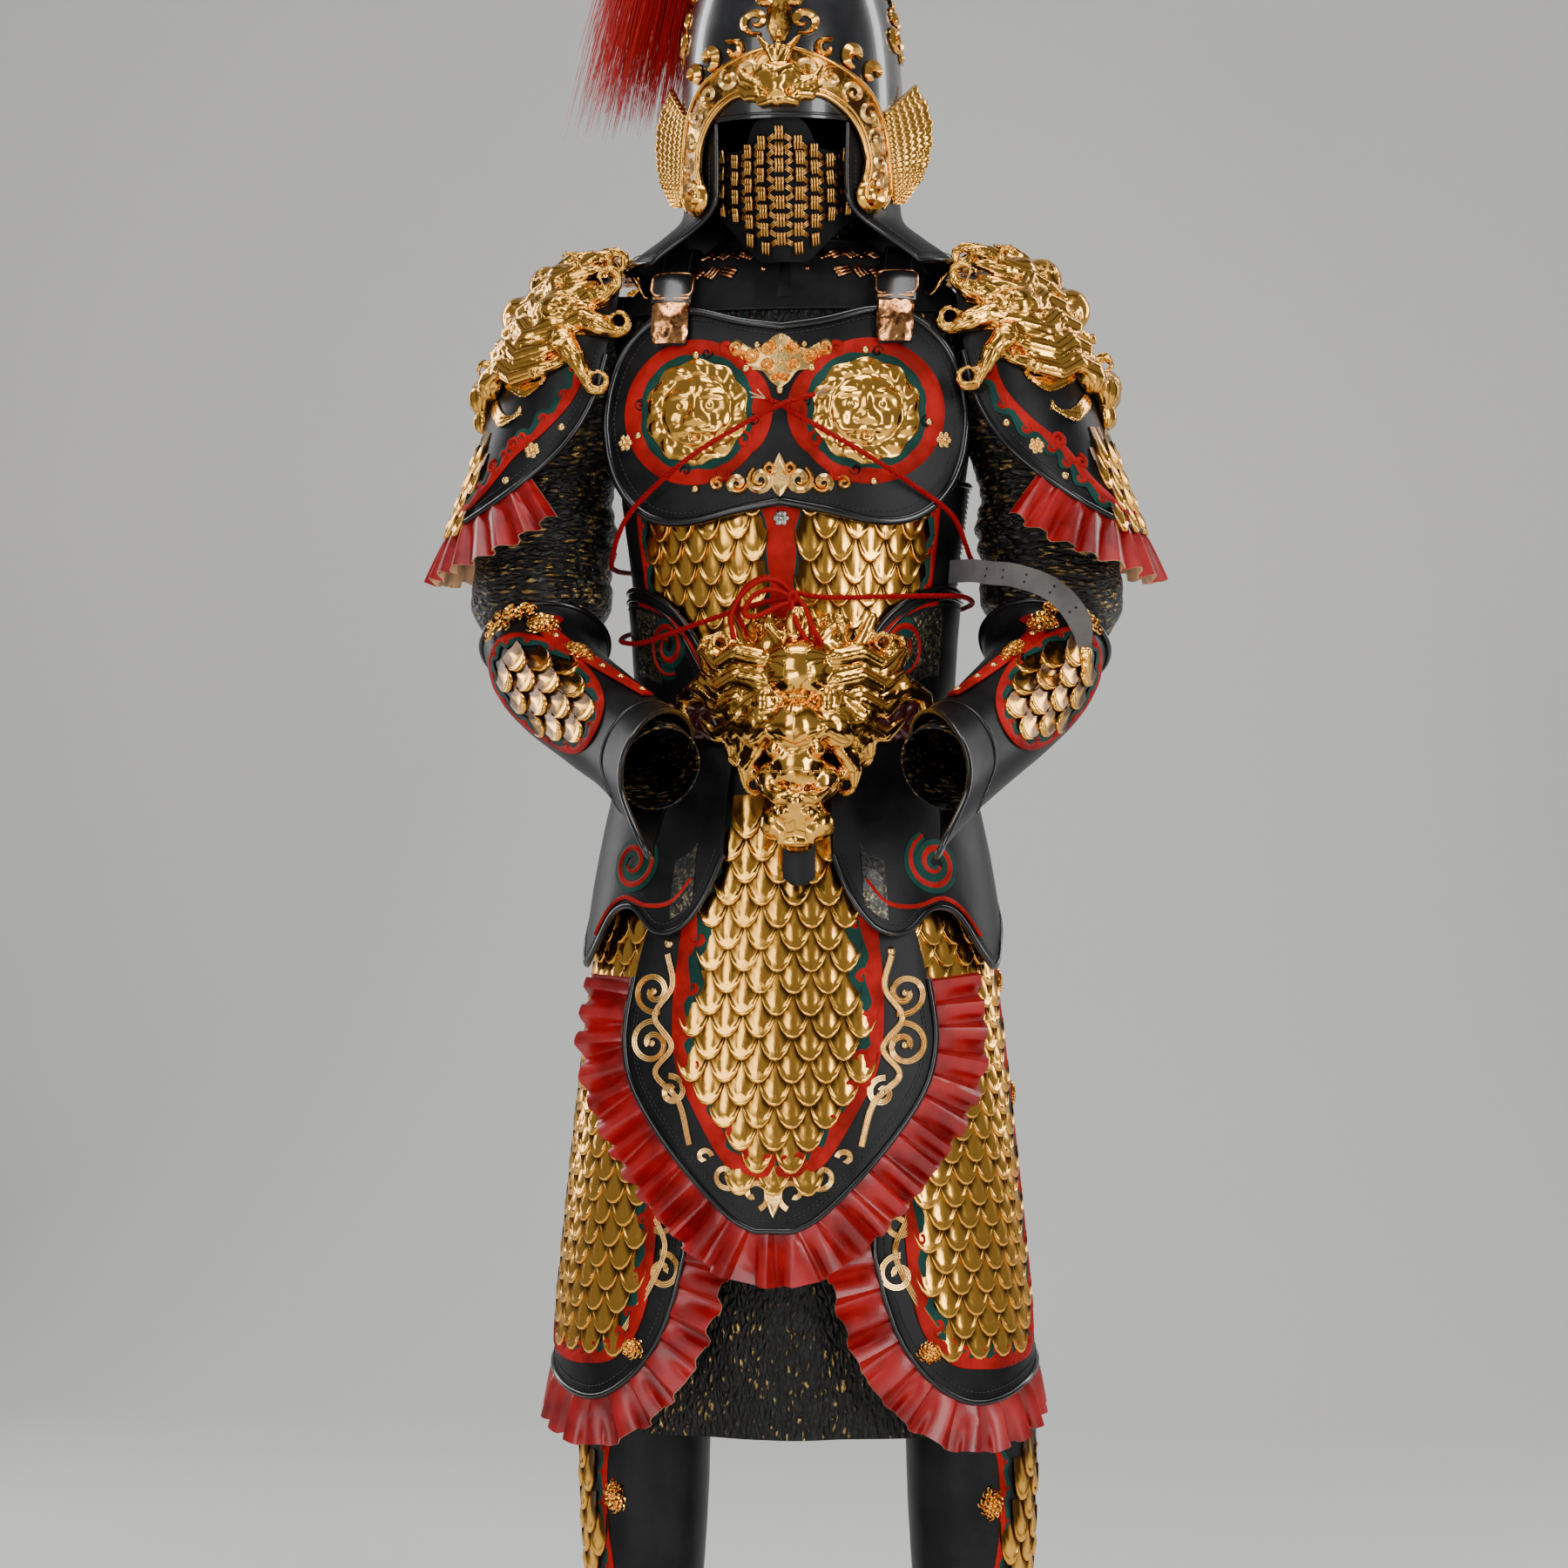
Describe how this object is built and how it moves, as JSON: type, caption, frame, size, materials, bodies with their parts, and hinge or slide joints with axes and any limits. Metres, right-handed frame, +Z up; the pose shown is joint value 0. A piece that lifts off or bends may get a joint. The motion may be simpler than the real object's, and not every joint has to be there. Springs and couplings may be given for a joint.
{
  "type": "chinese scale armour",
  "caption": "Suit of Chinese scale armour as worn: helmet, mask, beast shoulder guards, chest plate, scale skirts, forearm and shin guards over a thin robe.",
  "frame": {"origin": "between the shoulders, at the height where the suit rests on the wearer", "axes": "+Z up along the suit; the wearer looks along -Y; +X is the wearer's left"},
  "size_m": [0.7224, 0.4943, 2.0252],
  "materials": {
    "black_leather": "satin black leather with a fine grain, glossy piped edges and stitched red and green applique",
    "red_leather": "glossy red leather ruffles with pale cut edges",
    "gold": "polished and brushed golden brass, darker in its grooves",
    "robe_cloth": "thin black cloth with a crinkled golden sheen",
    "black_cloth": "matt black cloth",
    "helmet_black": "satin black lacquer over a metal bowl",
    "horsehair": "dyed red horsehair",
    "red_cord": "twisted red cord",
    "braid": "plaited dark red leather",
    "grey_suede": "grey suede"
  },
  "bodies": {
    "root": {"apron": "black_leather", "apron_palmette": "gold", "apron_ruffle": "red_leather", "apron_scales": "gold", "apron_scroll_left": "gold", "apron_scroll_right": "gold", "aventail": "black_leather", "belly_scales_left": "gold", "belly_scales_right": "gold", "belt": "braid", "belt_beast": "gold", "bracer_left": "black_leather", "bracer_right": "black_leather", "bracer_scales_left": "gold", "bracer_scales_right": "gold", "chest_crest": "gold", "chest_disc_left": "gold", "chest_disc_right": "gold", "chest_plate": "black_leather", "chest_scroll": "gold", "cord_chest": "red_cord", "cord_waist": "red_cord", "cuirass": "black_leather", "gorget": "black_cloth", "helmet_bowl": "helmet_black", "helmet_brow": "gold", "helmet_crest_front": "gold", "helmet_crest_left": "gold", "helmet_crest_right": "gold", "helmet_finial": "gold", "helmet_wing_left": "gold", "helmet_wing_right": "gold", "mask": "black_cloth", "pauldron_beast_left": "gold", "pauldron_beast_right": "gold", "pauldron_left": "black_leather", "pauldron_right": "black_leather", "pauldron_ruffle_left": "red_leather", "pauldron_ruffle_right": "red_leather", "pauldron_scales_left": "gold", "pauldron_scales_right": "gold", "plume": "horsehair", "robe": "robe_cloth", "shin_guard_left": "black_leather", "shin_guard_right": "black_leather", "shin_scales_left": "gold", "shin_scales_right": "gold", "shoulder_strap_left": "black_leather", "shoulder_strap_right": "black_leather", "side_strap": "grey_suede", "sleeve_left": "robe_cloth", "sleeve_right": "robe_cloth", "thigh_ruffle_left": "red_leather", "thigh_ruffle_right": "red_leather", "thigh_scales_left": "gold", "thigh_scales_right": "gold", "thigh_skirt_left": "black_leather", "thigh_skirt_right": "black_leather", "waist_wrap": "black_leather"}
  },
  "joints": []
}
